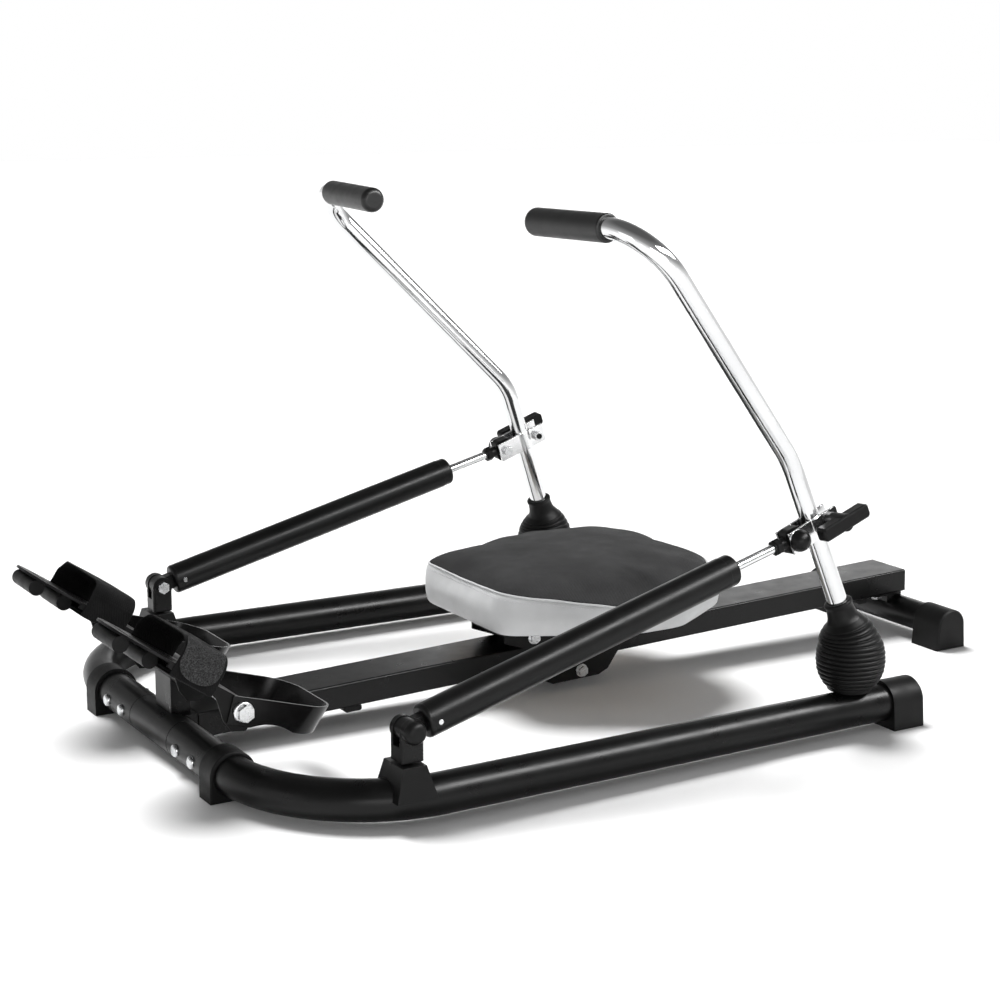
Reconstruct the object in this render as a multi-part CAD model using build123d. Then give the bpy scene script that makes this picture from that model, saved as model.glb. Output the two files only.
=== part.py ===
"""Hydraulic rowing machine with a sliding seat, two piston arms and two pivoting foot plates.

The rower sits facing -X with the feet in the foot plates. +Y is the rower's right, +Z is up and Z = 0 is the floor.
Most parts come in a right (+Y) version, and the left one is its mirror image about the XZ plane.
"""
from build123d import *
import os
from math import atan2, cos, degrees, radians, sin

os.makedirs("parts", exist_ok=True)

# ---------------------------------------------------------------- driving dimensions (mm)
# Lengths along X are measured from the front faces of the front feet.
ORIGIN_X = 556.545          # middle of the overall length, which becomes X = 0

TUBE_R = 24.5               # side tubes and front tube, 49 mm diameter
TUBE_WALL = 2.0
TUBE_Z = 31.0               # height of the tube centre lines
FRONT_X = 29.0              # front cross tube
SEAM_Y = 60.0               # where the side tubes meet the front tube
SEAM_GAP = 1.4              # visible groove at each seam
CORNER_Y = 378.0            # side tube centre line, extended to the front corner
SIDE_END = (912.0, 367.0)   # rear end of a side tube
BEND_R = 180.0

RAIL_W = 76.0
RAIL_H = 33.0
RAIL_WALL = 2.0
RAIL_Z0 = 52.3              # height of the rail's top face at X = 0
RAIL_TILT = 2.0             # the rail climbs towards the rear
RAIL_START = 57.0
RAIL_END = 1196.0

CROSS_X = 1187.0            # rear cross tube
CROSS_Z = 34.0
CROSS_R = 21.5
CROSS_HALF = 147.0

PEDAL_PIVOT = (39.0, 109.0)  # X, Z of the foot plate pivots
PEDAL_TILT = 34.5            # toe up
PEDAL_Y = 144.5              # middle of a foot plate
PEDAL_W = 135.0
BAND_TILT = 16.2             # heel band, down towards the rear
PEDAL_BOLT_R = 6.0

FORK_PIVOT = (169.0, 369.0, 111.0)   # lower pivot of the right cylinder
ARM_PIVOT = (809.6, 362.0, 128.0)    # centre of the right universal joint
KNEE = (723.6, 340.4, 356.3)         # corners of the right arm's centre line
TOP_BEND = (445.0, 426.6, 655.3)
GRIP_END = (431.2, 205.1, 652.2)
ARM_R = 12.7
ARM_WALL = 1.8
CLAMP_H = 154.0             # height of the clamp along the arm
CLAMP_PIVOT_Q = -34.8       # rod pivot bolt, in front of the arm
CLAMP_KNOB_Q = 20.4         # knob stud, behind the arm

CYL_R = 20.5
CYL_BORE = 18.25
ROD_R = 6.0
RUNNING = 0.06              # radial clearance of a running fit

SEAT_U = 612.0              # middle of the carriage, along the rail
SEAT_BOTTOM = 42.0          # underside of the cushion, above the rail
ROLLER_R = 12.8
LOWER_ROLLER_R = 13.5
UPPER_AXLES = (537.0, 687.0)
LOWER_AXLE_W = -47.0


# ---------------------------------------------------------------- helpers
def vec(p):
    return Vector(*p)


def rod(a, b, r):
    """Solid cylinder of radius r from point a to point b."""
    a, b = vec(a), vec(b)
    return extrude(Plane(origin=a, z_dir=b - a) * Circle(r), (b - a).length)


def pipe(a, b, outer, inner):
    return rod(a, b, outer) - rod(a, b, inner)


def hexagon(a, b, across_flats):
    """Hexagonal prism from a to b."""
    a, b = vec(a), vec(b)
    outline = Plane(origin=a, z_dir=b - a) * RegularPolygon(across_flats / 2, 6, major_radius=False)
    return extrude(outline, (b - a).length)


def block(x, y, z):
    """Box from three (low, high) pairs."""
    size = [high - low for low, high in (x, y, z)]
    middle = [(high + low) / 2 for low, high in (x, y, z)]
    return Pos(*middle) * Box(*size)


def swept(points, radii, r):
    """Round bar along a polyline whose corners are rounded."""
    path = FilletPolyline(*points, radius=radii)
    start = vec(points[0])
    section = Plane(origin=start, z_dir=vec(points[1]) - start) * Circle(r)
    return sweep(section, path)


def mirrored(shape):
    return mirror(shape, about=Plane.XZ)


def both(shape):
    """The right-hand solids and their mirror images, as one list."""
    return list(shape.solids()) + list(mirrored(shape).solids())


def save(name, shapes):
    """Write one node, moved so that X = 0 is the middle of the machine."""
    if not isinstance(shapes, list):
        shapes = list(shapes.solids())
    moved = [Pos(-ORIGIN_X, 0, 0) * s for s in shapes]
    whole = moved[0] if len(moved) == 1 else Compound(children=moved)
    export_step(whole, f"parts/{name}.step")
    boxes.append(whole.bounding_box())


def save_pair(name, shape):
    save(f"{name}_right", shape)
    save(f"{name}_left", mirrored(shape))


boxes = []

# Rail frame: local X runs along the rail, Z = 0 is its top face.
slope = radians(RAIL_TILT)
rail_frame = Plane(origin=(0, 0, RAIL_Z0), x_dir=(cos(slope), 0, sin(slope)), z_dir=(-sin(slope), 0, cos(slope)))


def post_column():
    x, z = PEDAL_PIVOT
    return block((x - 12.5, x + 12.5), (-25, 25), (40, z))


# ---------------------------------------------------------------- base frame
def side_tube_path_solid(r):
    points = [(FRONT_X, SEAM_Y, TUBE_Z), (FRONT_X, CORNER_Y, TUBE_Z), (*SIDE_END, TUBE_Z)]
    return swept(points, BEND_R, r)


BOLT_Y = (90.0, 139.0)
BOLT_R = 4.0
side_outer = side_tube_path_solid(TUBE_R)
front_outer = rod((FRONT_X, -SEAM_Y, TUBE_Z), (FRONT_X, SEAM_Y, TUBE_Z), TUBE_R)


def across_front_tube(y, r):
    return rod((FRONT_X - 40, y, TUBE_Z), (FRONT_X + 40, y, TUBE_Z), r)


def side_tube():
    tube = side_outer - side_tube_path_solid(TUBE_R - TUBE_WALL)
    tube -= block((0, 60), (SEAM_Y - 1, SEAM_Y + SEAM_GAP), (0, 60))
    for y in BOLT_Y:
        tube -= across_front_tube(y, BOLT_R + 0.2)
    return tube


def front_tube():
    """Centre tube with a reduced spigot at each end, inside the side tubes."""
    spigot_r = TUBE_R - TUBE_WALL - 0.1
    spigot_end = 165.0
    tube = front_outer + rod((FRONT_X, -spigot_end, TUBE_Z), (FRONT_X, spigot_end, TUBE_Z), spigot_r)
    tube -= rod((FRONT_X, -spigot_end, TUBE_Z), (FRONT_X, spigot_end, TUBE_Z), spigot_r - TUBE_WALL)
    for y in BOLT_Y:
        tube = tube - across_front_tube(y, BOLT_R + 0.2) - across_front_tube(-y, BOLT_R + 0.2)
    return tube


def dome(a, b, r, edge):
    """Round head from a to b with its far edge rounded."""
    head = rod(a, b, r)
    far = vec(b)
    circles = head.edges().filter_by(GeomType.CIRCLE)
    rim = [e for e in circles if (e.arc_center - far).length < 0.01]
    return fillet(rim, edge)


def frame_fasteners():
    """Four dome-head bolts with nuts through the front tube, and two hex bolts under the rail's rear end."""
    solids = []
    tube = rod((FRONT_X, -200, TUBE_Z), (FRONT_X, 200, TUBE_Z), TUBE_R)
    for y in BOLT_Y:
        shank = rod((FRONT_X - 26, y, TUBE_Z), (FRONT_X + 33, y, TUBE_Z), BOLT_R)
        head = dome((FRONT_X - 22, y, TUBE_Z), (FRONT_X - 28.5, y, TUBE_Z), 8.0, 4.0) - tube
        nut = hexagon((FRONT_X + 22, y, TUBE_Z), (FRONT_X + 31, y, TUBE_Z), 13.0) - tube
        nut -= rod((FRONT_X + 10, y, TUBE_Z), (FRONT_X + 40, y, TUBE_Z), BOLT_R)
        solids += both(shank + head) + both(nut)
    underside = -RAIL_H + RAIL_WALL
    for y in (-20.0, 20.0):
        screw = rod((1156, y, underside), (1156, y, -RAIL_H - 6), BOLT_R)
        screw += hexagon((1156, y, -RAIL_H - 4), (1156, y, -RAIL_H - 9.5), 13.0)
        solids += list((rail_frame * screw).solids())
    return solids


def front_foot():
    """Moulded saddle that wraps the front tube."""
    half = 29.0
    profile = Circle(half) + Pos(0, -TUBE_Z / 2) * Rectangle(2 * half, TUBE_Z)
    plane = Plane(origin=(FRONT_X, 173, TUBE_Z), x_dir=(1, 0, 0), z_dir=(0, 1, 0))
    flipped = Plane(origin=(FRONT_X, 207, TUBE_Z), x_dir=(1, 0, 0), z_dir=(0, -1, 0))
    foot = extrude(flipped * profile, 207 - 173)
    foot = chamfer(foot.faces().sort_by(Axis.Y)[-1].edges(), 1.5)
    return foot - side_outer


def cap_solid(half, centre_z, length):
    """Foot cap: round top, straight legs that spread a little, closed by its own end wall. Local X is its length."""
    spread = half + 2.5
    with BuildSketch(Plane.YZ) as outline:
        with BuildLine():
            Polyline((-half, centre_z), (-spread, 0), (spread, 0), (half, centre_z))
            ThreePointArc((half, centre_z), (0, centre_z + half), (-half, centre_z))
        make_face()
    cap = extrude(outline.sketch, length)
    return chamfer(cap.faces().sort_by(Axis.X)[-1].edges(), 2.5)


def side_tube_cap():
    start = 862.0
    length = 51.0
    cap = Pos(start, SIDE_END[1] + 0.3, 0) * cap_solid(28.5, TUBE_Z, length)
    return cap - side_outer


def rear_foot_cap():
    length = 55.0
    start = CROSS_HALF + 6.0 - length
    cap = Pos(CROSS_X, start, 0) * Rot(0, 0, 90) * cap_solid(24.8, CROSS_Z, length)
    return cap - rod((CROSS_X, 0, CROSS_Z), (CROSS_X, CROSS_HALF, CROSS_Z), CROSS_R)


def rail():
    outer = block((RAIL_START, RAIL_END), (-RAIL_W / 2, RAIL_W / 2), (-RAIL_H, 0))
    outer = fillet(outer.edges().filter_by(Axis.X), 3.0)
    inner_half = RAIL_W / 2 - RAIL_WALL
    inner = block((RAIL_START, RAIL_END), (-inner_half, inner_half), (-RAIL_H + RAIL_WALL, -RAIL_WALL))
    box = outer - inner
    for y in (-20.0, 20.0):
        box -= rod((1156, y, -RAIL_H - 1), (1156, y, -RAIL_H + RAIL_WALL + 1), BOLT_R)
    return rail_frame * box


def rail_end_plug():
    """Moulded plug in the rail's rear end."""
    inner_half = RAIL_W / 2 - RAIL_WALL
    plug = block((RAIL_END - 14, RAIL_END), (-inner_half, inner_half), (-RAIL_H + RAIL_WALL, -RAIL_WALL))
    hollow = block((RAIL_END - 14, RAIL_END - 3), (-inner_half + 3, inner_half - 3), (-RAIL_H + 5, -5))
    face = block((RAIL_END, RAIL_END + 1.2), (-RAIL_W / 2 + 1, RAIL_W / 2 - 1), (-RAIL_H + 1, -1))
    return rail_frame * (plug - hollow + face)


def rail_front_bracket():
    """Welded socket between the front tube and the rail."""
    socket = block((34, RAIL_START), (-RAIL_W / 2 + 2, RAIL_W / 2 - 2), (-RAIL_H, -0.5))
    return rail_frame * socket - front_outer - post_column()


def rear_bracket():
    """Saddle plate that joins the rail to the rear cross tube."""
    plate = block((1144, RAIL_END - 2), (-31, 31), (-RAIL_H - 4, -RAIL_H))
    cheek = block((CROSS_X - 19, CROSS_X + 8), (-31, 31), (-RAIL_H - 18, -RAIL_H))
    tube = rod((CROSS_X, -80, CROSS_Z), (CROSS_X, 80, CROSS_Z), CROSS_R)
    saddle = rail_frame * (plate + cheek) - tube
    for y in (-20.0, 20.0):
        hole = rod((1156, y, -RAIL_H - 6), (1156, y, -RAIL_H + 1), BOLT_R)
        saddle -= rail_frame * hole
    return saddle


def rear_cross_tube():
    return pipe((CROSS_X, -CROSS_HALF, CROSS_Z), (CROSS_X, CROSS_HALF, CROSS_Z), CROSS_R, CROSS_R - TUBE_WALL)


def rail_bumpers():
    """Rubber stops under the rail that end the carriage's travel."""
    stops = []
    for low, high in ((258, 282), (1108, 1126)):
        stop = block((low, high), (-34, 34), (-RAIL_H - 8, -RAIL_H))
        stop = fillet(stop.edges().filter_by(Axis.Y), 3.0)
        stops += list((rail_frame * stop).solids())
    return stops


# ---------------------------------------------------------------- footrest
AXLE_TUBE_R = 15.0
AXLE_TUBE_HALF = 70.0
PLATE_TOP = 12.0            # top of the foot plate above the pivot, square to the plate
PLATE_T = 3.0
TOE_D = -175.0              # toe end of the plate, from the pivot
HEEL_D = 4.0
INNER_Y = PEDAL_Y - PEDAL_W / 2
OUTER_Y = PEDAL_Y + PEDAL_W / 2
BAND_T = 3.0
STRAP_T = 2.5

px, pz = PEDAL_PIVOT
tilt = radians(PEDAL_TILT)
# Foot plate frame: local X runs from toe to heel, local Z stands up from the plate, origin on the pivot.
plate_frame = Plane(origin=(px, 0, pz), x_dir=(cos(tilt), 0, -sin(tilt)), z_dir=(sin(tilt), 0, cos(tilt)))
band_angle = radians(BAND_TILT)
band_frame = Plane(
    origin=(px, 0, pz), x_dir=(cos(band_angle), 0, -sin(band_angle)), z_dir=(sin(band_angle), 0, cos(band_angle))
)


def footrest_post():
    """Upright on the front tube with the tube that carries both foot plates."""
    post = post_column()
    post += rod((px, -AXLE_TUBE_HALF, pz), (px, AXLE_TUBE_HALF, pz), AXLE_TUBE_R)
    post -= rod((px, -AXLE_TUBE_HALF, pz), (px, -30, pz), PEDAL_BOLT_R)
    post -= rod((px, 30, pz), (px, AXLE_TUBE_HALF, pz), PEDAL_BOLT_R)
    return post - front_outer


def pedal_bolt():
    """Long flanged bolt on which one foot plate turns, with its inner washer."""
    face = OUTER_Y + BAND_T + 0.3
    bolt = rod((px, 34, pz), (px, face + 2, pz), PEDAL_BOLT_R)
    bolt += dome((px, face, pz), (px, face + 3.5, pz), 12.5, 2.0)
    bolt += hexagon((px, face + 2, pz), (px, face + 11, pz), 18.0)
    bolt += rod((px, AXLE_TUBE_HALF, pz), (px, INNER_Y - BAND_T - 0.3, pz), 11.0)
    return bolt


def pivot_hole():
    return rod((px, INNER_Y - 20, pz), (px, OUTER_Y + 20, pz), PEDAL_BOLT_R + RUNNING)


def foot_plate():
    plate = block((TOE_D, HEEL_D), (INNER_Y, OUTER_Y), (PLATE_TOP - PLATE_T, PLATE_TOP))
    toe_corners = plate.edges().filter_by(Axis.Z).group_by(Axis.X)[0]
    plate = fillet(toe_corners, 62.0)
    for d in (-146, -92, -72, -42, -24):
        slot = extrude(Pos(d, PEDAL_Y, PLATE_TOP - 5) * SlotOverall(70, 9, rotation=90), 10)
        plate -= slot
    for y in (INNER_Y, OUTER_Y - 3):
        rim = block((TOE_D + 64, HEEL_D), (y, y + 3), (4, PLATE_TOP - PLATE_T))
        with BuildSketch(Plane(origin=(0, y + 3, 0), x_dir=(1, 0, 0), z_dir=(0, -1, 0))) as ear:
            with BuildLine():
                Polyline((-60, 9), (4, 9), (20, 0), (17, -18), (2, -26), (-14, -20), (-36, -2), (-60, 4), close=True)
            make_face()
        plate = plate + rim + extrude(ear.sketch, 3)
    for d in (-158, -116.5):
        plate += rod((d, PEDAL_Y - 33, 0), (d, PEDAL_Y + 33, 0), 10.0)
    return plate_frame * plate - pivot_hole()


def band_outline(end, height):
    """U-shaped outline of the heel band at one height above its middle line."""
    corner = 40.0
    outer = block((-16, end), (INNER_Y - BAND_T, OUTER_Y + BAND_T), (0, 1))
    outer = fillet(outer.edges().filter_by(Axis.Z).group_by(Axis.X)[-1], corner)
    inner = block((-60, end - BAND_T), (INNER_Y, OUTER_Y), (-1, 2))
    inner = fillet(inner.edges().filter_by(Axis.Z).group_by(Axis.X)[-1], corner - BAND_T)
    return Pos(0, 0, height) * (outer - inner).faces().sort_by(Axis.Z)[0]


def heel_band():
    """Steel strip bent to a U behind the heel, its legs outside the foot plate's ears and its end leaning back."""
    band = loft([band_outline(112.0, -17), band_outline(124.0, 17)], ruled=True)
    waist = rod((42, 0, -77), (42, 300, -77), 66.0)
    return band_frame * (band - waist) - pivot_hole()


def foot_strap():
    """Wide strap round the plate: an arch over the foot and a flat run below."""
    low, high = -105.0, -43.0
    gap = 0.4
    arch_top = 47.0
    under = -1.0
    outer = block((low, high), (INNER_Y - gap - STRAP_T, OUTER_Y + gap + STRAP_T), (under - STRAP_T, arch_top))
    outer = fillet(outer.edges().filter_by(Axis.X).group_by(Axis.Z)[-1], 22.0)
    outer = fillet(outer.edges().filter_by(Axis.X).group_by(Axis.Z)[0], 4.0)
    inner = block((low, high), (INNER_Y - gap, OUTER_Y + gap), (under, arch_top - STRAP_T))
    inner = fillet(inner.edges().filter_by(Axis.X).group_by(Axis.Z)[-1], 22.0 - STRAP_T)
    return plate_frame * (outer - inner)


# ---------------------------------------------------------------- right arm frame
pivot = vec(ARM_PIVOT)
arm_dir = (vec(KNEE) - pivot).normalized()
fork_point = vec(FORK_PIVOT)


def flat_heading(a, b):
    """Unit vector from a to b in plan."""
    d = b - a
    return Vector(d.X, d.Y, 0).normalized()


def arm_axes(heading):
    """Lateral (b) and backward (q) unit vectors of the arm for a given cylinder heading."""
    side = Vector(-heading.Y, heading.X, 0)
    lateral = (side - arm_dir * side.dot(arm_dir)).normalized()
    return lateral, lateral.cross(arm_dir)


# The rod pivot depends on the lateral axis and the other way round, so settle them in a few rounds.
heading = Vector(1, 0, 0)
for _ in range(4):
    arm_lateral, arm_back = arm_axes(heading)
    rod_pivot = pivot + arm_dir * CLAMP_H + arm_back * CLAMP_PIVOT_Q
    heading = flat_heading(fork_point, rod_pivot)

hinge_axis = Vector(-heading.Y, heading.X, 0)        # fore-and-aft hinge of the arm, and cylinder hinge
cyl_vector = rod_pivot - fork_point
CYL_LENGTH = cyl_vector.length
cyl_dir = cyl_vector.normalized()
cyl_up = cyl_dir.cross(hinge_axis)
cyl_frame = Plane(origin=fork_point, x_dir=cyl_dir, z_dir=cyl_up)
fork_frame = Plane(origin=fork_point, x_dir=heading, z_dir=(0, 0, 1))
joint_frame = Plane(origin=pivot, x_dir=heading, z_dir=(0, 0, 1))
# Arm frame: local Z along the lower arm, local X backwards, local Y to the outside.
arm_frame = Plane(origin=pivot, x_dir=arm_back, z_dir=arm_dir)

# ---------------------------------------------------------------- cylinder base and fork
BASE_TOP = 74.0
FORK_BOTTOM = 76.0
FORK_HALF_X = 14.0
FORK_HALF_Y = 15.0
EYE_HALF = 7.0
SWIVEL_R = 6.0


def cylinder_base():
    """Trapezoid saddle welded over the side tube, with the swivel stud."""
    x, y, _ = FORK_PIVOT
    bottom = Plane(origin=(x - 3, y + 3, 36)) * Rectangle(52, 58)
    top = Plane(origin=(x - 3, y + 1, BASE_TOP)) * Rectangle(30, 46)
    saddle = loft([bottom, top])
    saddle = saddle - side_outer
    return saddle + rod((x, y, 62), (x, y, 90), SWIVEL_R)


def swivel_fork():
    """Fork that turns on the stud and holds the cylinder's lower eye."""
    fz = FORK_BOTTOM - FORK_PIVOT[2]
    body = block((-FORK_HALF_X, FORK_HALF_X), (-FORK_HALF_Y, FORK_HALF_Y), (fz, 0))
    body = fillet(body.edges().filter_by(Axis.Z), 4.0)
    body += rod((0, -FORK_HALF_Y, 0), (0, FORK_HALF_Y, 0), FORK_HALF_X)
    slot_half = EYE_HALF + 0.4
    body -= block((-20, 20), (-slot_half, slot_half), (-17.5, 20))
    body -= rod((0, 0, fz - 1), (0, 0, -20.5), SWIVEL_R + RUNNING)
    body -= rod((0, -20, 0), (0, 20, 0), 5.0)
    return fork_frame * body


def fork_bolt():
    """Pivot bolt with a dome cap outside and a hex nut inside."""
    bolt = rod((0, -21, 0), (0, 18, 0), 5.0)
    bolt += dome((0, FORK_HALF_Y, 0), (0, FORK_HALF_Y + 11, 0), 14.0, 9.0)
    bolt += hexagon((0, -FORK_HALF_Y, 0), (0, -FORK_HALF_Y - 6, 0), 15.0)
    return fork_frame * bolt


# ---------------------------------------------------------------- hydraulic cylinder and rod
TUBE_START = 26.0
TUBE_STOP = 460.0
GLAND_STOP = 476.0
HEAD_START = 345.0          # piston head at rest
END_PIN_AT = 33.0           # cross pin, along the cylinder
END_PIN_R = 3.0


def cylinder_pin():
    """Cross pin that holds the cylinder on its end fitting."""
    return cyl_frame * rod((END_PIN_AT, -CYL_R - 0.8, 0), (END_PIN_AT, CYL_R + 0.8, 0), END_PIN_R)


def cylinder_tube():
    return cyl_frame * pipe((TUBE_START, 0, 0), (TUBE_STOP, 0, 0), CYL_R, CYL_BORE) - cylinder_pin()


def cylinder_end():
    """Lower end fitting: eye, neck and the plug that closes the cylinder."""
    eye = rod((0, -EYE_HALF, 0), (0, EYE_HALF, 0), 13.0)
    neck = block((0, 24), (-EYE_HALF, EYE_HALF), (-10, 10))
    flange = dome((TUBE_START, 0, 0), (20, 0, 0), CYL_R, 4.0)
    plug = rod((TUBE_START, 0, 0), (40, 0, 0), CYL_BORE - 0.05)
    end = eye + neck + flange + plug
    return cyl_frame * (end - rod((0, -20, 0), (0, 20, 0), 5.0 + RUNNING)) - cylinder_pin()


def gland_cap():
    """Upper end cap with the rod's guide bore."""
    cap = dome((TUBE_STOP, 0, 0), (GLAND_STOP, 0, 0), CYL_R - 0.7, 5.0)
    cap += rod((TUBE_STOP - 12, 0, 0), (TUBE_STOP, 0, 0), CYL_BORE - 0.05)
    return cyl_frame * (cap - rod((TUBE_STOP - 20, 0, 0), (GLAND_STOP + 5, 0, 0), ROD_R + RUNNING))


def piston_rod():
    """Chrome rod with its piston head inside the cylinder."""
    shaft = rod((HEAD_START, 0, 0), (CYL_LENGTH - 17, 0, 0), ROD_R)
    head = rod((HEAD_START, 0, 0), (HEAD_START + 14, 0, 0), CYL_BORE - RUNNING)
    return cyl_frame * (shaft + head)


EYE_SLOT = (12.8, 24.0)     # opening along and across the rod, so that the rod can lag the arm
EYE_BOLT_R = 4.0


def rod_end():
    """Moulded eye on the rod, with its lock nut. The eye turns with the arm's lean, so it is rolled to match."""
    roll = degrees(atan2(arm_lateral.dot(cyl_up), arm_lateral.dot(hinge_axis)))
    length = CYL_LENGTH
    eye = block((length - 14, length + 13), (-6.5, 6.5), (-16, 16))
    eye = fillet(eye.edges().filter_by(Axis.Y), 8.0)
    eye += rod((length - 22, 0, 0), (length - 12, 0, 0), 7.8)
    along, across = EYE_SLOT
    slot = block((length - along / 2, length + along / 2), (-10, 10), (-across / 2, across / 2))
    eye -= fillet(slot.edges().filter_by(Axis.Y), 4.5)
    eye -= rod((length - 30, 0, 0), (length - 17, 0, 0), ROD_R)
    nut = hexagon((length - 30, 0, 0), (length - 22.5, 0, 0), 19.0)
    nut += rod((length - 32, 0, 0), (length - 30, 0, 0), 8.5)
    nut -= rod((length - 33, 0, 0), (length - 22, 0, 0), ROD_R)
    placed = [cyl_frame * (Rot(roll, 0, 0) * eye), cyl_frame * nut]
    return placed


# ---------------------------------------------------------------- universal joint
EAR_IN, EAR_OUT = 9.4, 14.0
PIN_R = 4.0
arm_tube_start = 26.0


def arm_post():
    """Post on the side tube whose two ears hold the universal joint's cross pin."""
    base_z = 48.0 - ARM_PIVOT[2]
    post = rod((0, 0, base_z), (0, 0, -21), 16.0)
    post += block((-7, 7), (-EAR_OUT, EAR_OUT), (-26, -18))
    for side in (-1, 1):
        y0, y1 = sorted((side * EAR_IN, side * EAR_OUT))
        post += block((-7, 7), (y0, y1), (-22, 0))
        post += rod((0, y0, 0), (0, y1, 0), 7.0)
    post -= rod((0, -20, 0), (0, 20, 0), PIN_R + RUNNING)
    return joint_frame * post - side_outer


def universal_cross():
    """Cross of the universal joint: a block with pins along both hinge axes."""
    cross = rod((0, -EAR_OUT, 0), (0, EAR_OUT, 0), PIN_R)
    cross += rod((0, -8.5, 0), (0, 8.5, 0), 8.5)
    splay_pin = rod((-EAR_OUT, 0, 0), (EAR_OUT, 0, 0), PIN_R)
    return joint_frame * cross + arm_frame * splay_pin


def arm_tube():
    """Bent chrome arm with the universal joint's upper fork welded into its foot."""
    start = pivot + arm_dir * arm_tube_start
    grip_dir = (vec(GRIP_END) - vec(TOP_BEND)).normalized()
    stop = vec(GRIP_END) - grip_dir * 10
    points = [tuple(start), KNEE, TOP_BEND, tuple(stop)]
    bends = [90.0, 62.0]
    tube = swept(points, bends, ARM_R) - swept(points, bends, ARM_R - ARM_WALL)
    fork = rod((0, 0, 18), (0, 0, arm_tube_start), 13.5)
    fork += rod((0, 0, arm_tube_start), (0, 0, 46), ARM_R - ARM_WALL)
    for side in (-1, 1):
        x0, x1 = sorted((side * EAR_IN, side * EAR_OUT))
        fork += block((x0, x1), (-6.5, 6.5), (0, 20))
        fork += rod((x0, 0, 0), (x1, 0, 0), 6.5)
    fork -= rod((-20, 0, 0), (20, 0, 0), PIN_R + RUNNING)
    return tube + arm_frame * fork


def grip():
    """Foam sleeve with a closed round end."""
    axis = (vec(GRIP_END) - vec(TOP_BEND)).normalized()
    length = (vec(GRIP_END) - vec(TOP_BEND)).length
    start = 76.0
    plane = Plane(origin=vec(TOP_BEND), z_dir=axis)
    sleeve = rod((0, 0, start), (0, 0, length), 17.0)
    ends = sleeve.edges().filter_by(GeomType.CIRCLE).sort_by(Axis.Z)
    sleeve = fillet([ends[0]], 2.5)
    ends = sleeve.edges().filter_by(GeomType.CIRCLE).sort_by(Axis.Z)
    sleeve = fillet([ends[-1]], 8.0)
    sleeve -= rod((0, 0, start - 1), (0, 0, length - 10), ARM_R)
    return plane * sleeve


# ---------------------------------------------------------------- clamp on the arm
WING_IN, WING_OUT = 10.0, 13.0
CLAMP_HALF = 14.0
CLAMP_ENDS = (-47.0, 33.5)


def clamp_plate(side):
    """One pressed plate of the clamp, on the outer (1) or inner (-1) side of the arm."""
    wings = Pos((CLAMP_ENDS[0] + CLAMP_ENDS[1]) / 2, side * (WING_IN + WING_OUT) / 2)
    shape = wings * Rectangle(CLAMP_ENDS[1] - CLAMP_ENDS[0], WING_OUT - WING_IN)
    shell = Circle(ARM_R + 3.1) - Circle(ARM_R)
    outer_half = Pos(0, side * (WING_IN + 10)) * Rectangle(60, 20)
    shape = shape + (shell & outer_half) - Circle(ARM_R)
    plate = extrude(Pos(0, 0, CLAMP_H - CLAMP_HALF) * shape, 2 * CLAMP_HALF)
    for q, r in ((CLAMP_PIVOT_Q, EYE_BOLT_R), (CLAMP_KNOB_Q, EYE_BOLT_R + RUNNING)):
        plate -= rod((q, side * 5, CLAMP_H), (q, side * 20, CLAMP_H), r)
    return arm_frame * plate


def clamp_plates():
    plates = []
    for side in (-1, 1):
        plates += list(clamp_plate(side).solids())
    return plates


def clamp_bolt():
    """Rod pivot bolt with a ball cap outside, and the knob stud's nut inside."""
    h = CLAMP_H
    bolt = rod((CLAMP_PIVOT_Q, -WING_OUT - 5, h), (CLAMP_PIVOT_Q, WING_OUT + 5, h), EYE_BOLT_R)
    bolt += hexagon((CLAMP_PIVOT_Q, -WING_OUT, h), (CLAMP_PIVOT_Q, -WING_OUT - 6, h), 13.0)
    ball = Pos(CLAMP_PIVOT_Q, WING_OUT + 2, h) * Sphere(14.0)
    ball &= block((-80, 80), (WING_OUT, 60), (h - 40, h + 40))
    bolt += ball
    nut = hexagon((CLAMP_KNOB_Q, -WING_OUT, h), (CLAMP_KNOB_Q, -WING_OUT - 7, h), 13.0)
    nut -= rod((CLAMP_KNOB_Q, -30, h), (CLAMP_KNOB_Q, 0, h), EYE_BOLT_R + RUNNING)
    return list((arm_frame * bolt).solids()) + list((arm_frame * nut).solids())


def clamp_knob():
    """T-shaped hand knob with its stud through both plates."""
    q, h = CLAMP_KNOB_Q, CLAMP_H
    stud = rod((q, -WING_OUT - 9, h), (q, 34, h), EYE_BOLT_R)
    hub = rod((q, WING_OUT + 0.3, h), (q, 44, h), 11.0)
    bar = block((q - 38, q + 38), (30, 45), (h - 9, h + 9))
    bar = fillet(bar.edges().filter_by(Axis.Y), 5.0)
    bar = chamfer(bar.faces().sort_by(Axis.Y)[-1].edges(), 2.0)
    return arm_frame * (stud + hub + bar)


# ---------------------------------------------------------------- rubber boot
def boot_outline(extra):
    """Half outline of the boot's bulb about its upright axis, shrunk by extra."""
    with BuildSketch(Plane.XZ) as half:
        with BuildLine():
            Polyline((0, 52 + extra), (27 - extra, 52 + extra), (27 - extra, 60 + extra))
            Spline(
                (27 - extra, 60 + extra), (42.5 - extra, 103), (31 - extra, 137 - extra), (18 - extra, 152 - extra)
            )
            Polyline((18 - extra, 152 - extra), (0, 152 - extra), (0, 52 + extra))
        make_face()
    return half.sketch


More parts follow.
